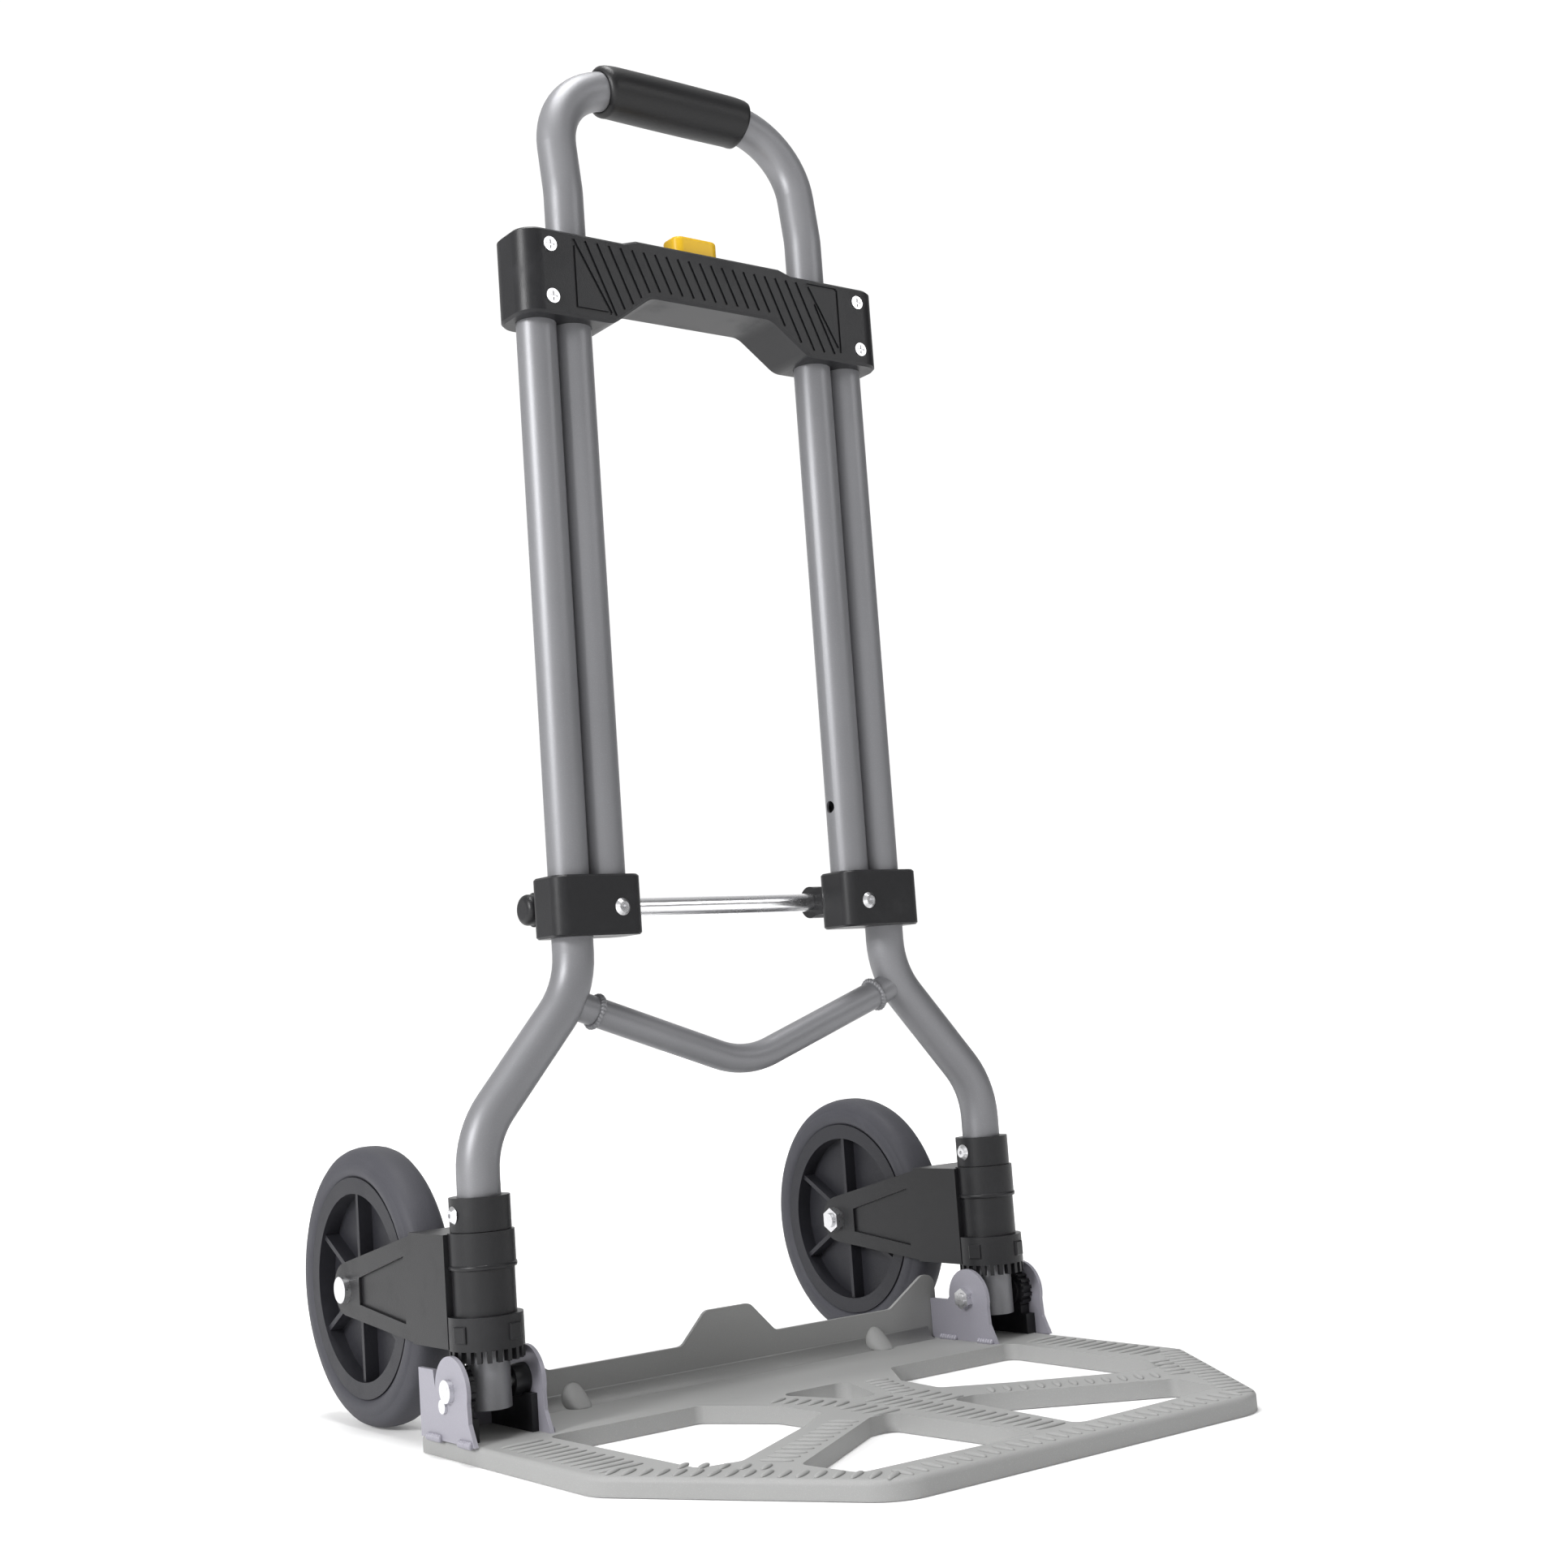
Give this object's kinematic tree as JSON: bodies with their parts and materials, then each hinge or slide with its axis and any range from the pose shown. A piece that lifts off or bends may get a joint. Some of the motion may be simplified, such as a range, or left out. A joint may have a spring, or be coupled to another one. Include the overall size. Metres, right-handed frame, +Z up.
{
  "type": "hand truck",
  "caption": "Folding two-wheel hand truck: telescopic U-handle with push-button lock, toe plate that folds up while its gears swing the wheels inwards.",
  "frame": {"origin": "centre of the bounding box's footprint, on the floor", "axes": "+Z up along the tubes, +X across the truck, -Y towards the toe plate's front edge, wheels at +Y"},
  "size_m": [0.438, 0.509, 0.855],
  "materials": {
    "tube_paint": "satin",
    "plate_paint": "satin",
    "black_plastic": "matte",
    "rim_plastic": "matte",
    "tyre_rubber": "matte",
    "zinc": "bright",
    "spring_steel": "bright",
    "bush_plastic": "matte",
    "chrome_bar": "polished",
    "grip_foam": "matte",
    "yellow_plastic": "gloss"
  },
  "bodies": {
    "frame": {"left_frame_tube": "tube_paint", "right_frame_tube": "tube_paint", "cross_brace": "tube_paint", "housing_front_shell": "black_plastic", "housing_rear_shell": "black_plastic", "housing_screws": "zinc", "left_leg_collar": "black_plastic", "right_leg_collar": "black_plastic", "leg_collar_rivets": "zinc", "lock_pin_springs": "spring_steel", "button_spring": "spring_steel"},
    "handle": {"handle_tube": "tube_paint", "foam_grip": "grip_foam", "left_slide_collar": "black_plastic", "right_slide_collar": "black_plastic", "slide_collar_rivets": "zinc", "tie_rod": "chrome_bar", "tie_rod_caps": "black_plastic"},
    "button": {"push_button": "yellow_plastic"},
    "left_pin": {"left_lock_pin": "zinc"},
    "right_pin": {"right_lock_pin": "zinc"},
    "toe": {"toe_plate": "plate_paint", "left_hinge_bracket": "plate_paint", "right_hinge_bracket": "plate_paint", "left_gear_liner": "black_plastic", "right_gear_liner": "black_plastic", "left_hinge_spacer": "black_plastic", "right_hinge_spacer": "black_plastic", "hinge_bolts": "zinc", "hinge_nuts": "zinc", "liner_rivets": "zinc"},
    "left_fork_body": {"left_fork": "black_plastic", "left_axle_bolt": "zinc", "left_axle_nut": "zinc"},
    "right_fork_body": {"right_fork": "black_plastic", "right_axle_bolt": "zinc", "right_axle_nut": "zinc"},
    "left_wheel": {"left_rim": "rim_plastic", "left_tyre": "tyre_rubber", "left_wheel_bush": "bush_plastic"},
    "right_wheel": {"right_rim": "rim_plastic", "right_tyre": "tyre_rubber", "right_wheel_bush": "bush_plastic"}
  },
  "joints": [
    {"name": "handle_slide", "type": "slide", "parent": "frame", "child": "handle", "axis": [0, 0, 1], "range_m": [0, 0.332]},
    {"name": "button_press", "type": "slide", "parent": "frame", "child": "button", "axis": [0, 0, -1], "range_m": [0, 0.006], "stiffness_N_per_m": 400, "springref_m": -0.003, "deforming": ["button_spring"]},
    {"name": "left_pin_slide", "type": "slide", "parent": "frame", "child": "left_pin", "axis": [1, 0, 0], "range_m": [0, 0.004]},
    {"name": "right_pin_slide", "type": "slide", "parent": "frame", "child": "right_pin", "axis": [-1, 0, 0], "range_m": [0, 0.004]},
    {"name": "toe_fold", "type": "hinge", "parent": "frame", "child": "toe", "pos_m": [0, 0.0295, 0.038], "axis": [-1, 0, 0], "range_deg": [0, 90]},
    {"name": "left_fork_swivel", "type": "hinge", "parent": "frame", "child": "left_fork_body", "pos_m": [-0.191, 0.0295, 0.09], "axis": [0, 0, -1], "range_deg": [0, 53]},
    {"name": "right_fork_swivel", "type": "hinge", "parent": "frame", "child": "right_fork_body", "pos_m": [0.191, 0.0295, 0.09], "axis": [0, 0, 1], "range_deg": [0, 53]},
    {"name": "left_wheel_spin", "type": "hinge", "parent": "left_fork_body", "child": "left_wheel", "pos_m": [-0.191, 0.1695, 0.085], "axis": [1, 0, 0], "continuous": true},
    {"name": "right_wheel_spin", "type": "hinge", "parent": "right_fork_body", "child": "right_wheel", "pos_m": [0.191, 0.1695, 0.085], "axis": [1, 0, 0], "continuous": true}
  ],
  "couplings": [
    {"joint": "left_pin_slide", "follows": "button_press", "ratio": 0.6666},
    {"joint": "right_pin_slide", "follows": "button_press", "ratio": 0.6666},
    {"joint": "left_fork_swivel", "follows": "toe_fold", "ratio": 0.5888},
    {"joint": "right_fork_swivel", "follows": "toe_fold", "ratio": 0.5888}
  ]
}
